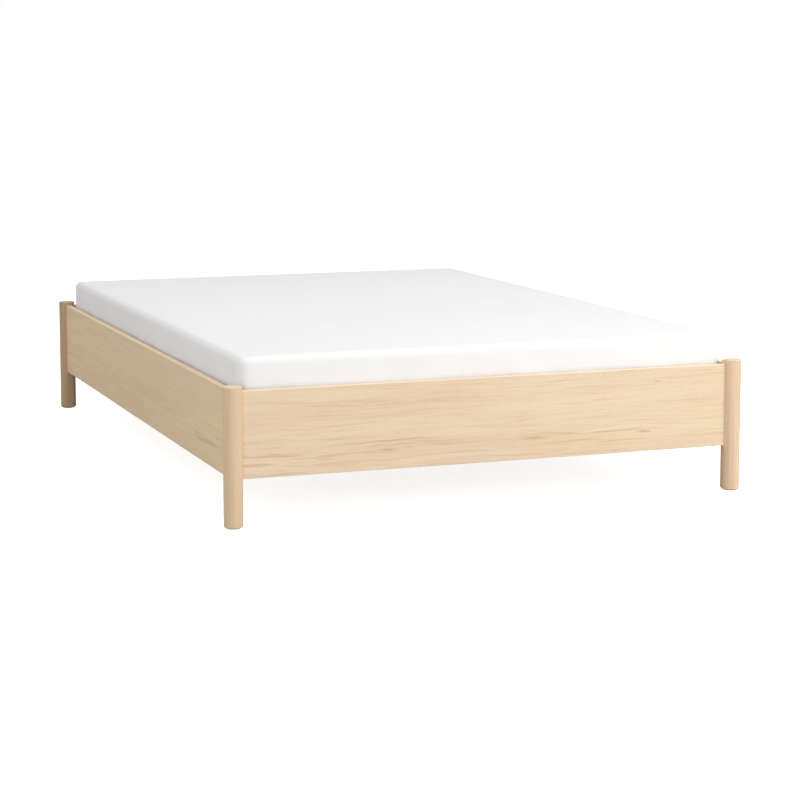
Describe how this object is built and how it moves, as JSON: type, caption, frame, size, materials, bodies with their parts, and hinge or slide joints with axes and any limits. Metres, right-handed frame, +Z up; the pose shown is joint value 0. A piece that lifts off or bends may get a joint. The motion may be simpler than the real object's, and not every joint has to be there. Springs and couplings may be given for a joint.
{
  "type": "platform bed",
  "caption": "Low wooden platform bed with round corner posts, flat rails, a slatted deck on ledges and a middle beam, and a plain mattress.",
  "frame": {"origin": "on the floor, under the middle of the bed", "axes": "+Z up, +Y towards the head end along the bed, +X to the right as seen from the foot end"},
  "size_m": [1.486, 2.096, 0.4399],
  "materials": {
    "post_wood": "matt clear-lacquered pale hardwood, upright grain",
    "rail_wood": "matt clear-lacquered pale veneer, lengthwise grain, lighter solid edge",
    "ledge_wood": "planed softwood",
    "slat_wood": "sanded layer-glued slats",
    "dowel_wood": "plain beech",
    "zinc_plate": "zinc-plated bent plate",
    "beam_steel": "grey powder coat",
    "fastener_steel": "bright zinc",
    "staple_steel": "galvanised wire",
    "insert_brass": "yellow-passivated",
    "cap_plastic": "moulded, satin",
    "glide_plastic": "moulded, matt",
    "webbing": "plain-woven polyester band",
    "mattress_foam": "open-cell foam",
    "mattress_knit": "smooth white knitted cover"
  },
  "bodies": {
    "bed_frame": {"foot_left_post": "post_wood", "foot_left_bracket": "zinc_plate", "foot_left_glide": "glide_plastic", "foot_right_post": "post_wood", "foot_right_bracket": "zinc_plate", "foot_right_glide": "glide_plastic", "head_left_post": "post_wood", "head_left_bracket": "zinc_plate", "head_left_glide": "glide_plastic", "head_right_post": "post_wood", "head_right_bracket": "zinc_plate", "head_right_glide": "glide_plastic", "foot_rail": "rail_wood", "head_rail": "rail_wood", "left_side_rail": "rail_wood", "right_side_rail": "rail_wood", "left_slat_ledge": "ledge_wood", "right_slat_ledge": "ledge_wood", "mid_beam": "beam_steel", "foot_beam_cap": "cap_plastic", "head_beam_cap": "cap_plastic", "foot_beam_hanger": "zinc_plate", "head_beam_hanger": "zinc_plate", "bracket_bolts": "fastener_steel", "bracket_screws": "fastener_steel", "ledge_screws": "fastener_steel", "hanger_screws": "fastener_steel", "threaded_inserts": "insert_brass", "rail_dowels": "dowel_wood"},
    "slatted_deck": {"slat_01": "slat_wood", "slat_02": "slat_wood", "slat_03": "slat_wood", "slat_04": "slat_wood", "slat_05": "slat_wood", "slat_06": "slat_wood", "slat_07": "slat_wood", "slat_08": "slat_wood", "slat_09": "slat_wood", "slat_10": "slat_wood", "slat_11": "slat_wood", "slat_12": "slat_wood", "slat_13": "slat_wood", "slat_14": "slat_wood", "slat_15": "slat_wood", "slat_16": "slat_wood", "left_webbing_band": "webbing", "right_webbing_band": "webbing", "webbing_staples": "staple_steel"},
    "mattress": {"mattress_core": "mattress_foam", "mattress_cover": "mattress_knit"}
  },
  "joints": [
    {"name": "deck_lift", "type": "slide", "parent": "bed_frame", "child": "slatted_deck", "axis": [0, 0, 1], "range_m": [0, 0.3]},
    {"name": "mattress_lift", "type": "slide", "parent": "slatted_deck", "child": "mattress", "axis": [0, 0, 1], "range_m": [0, 0.45]}
  ]
}
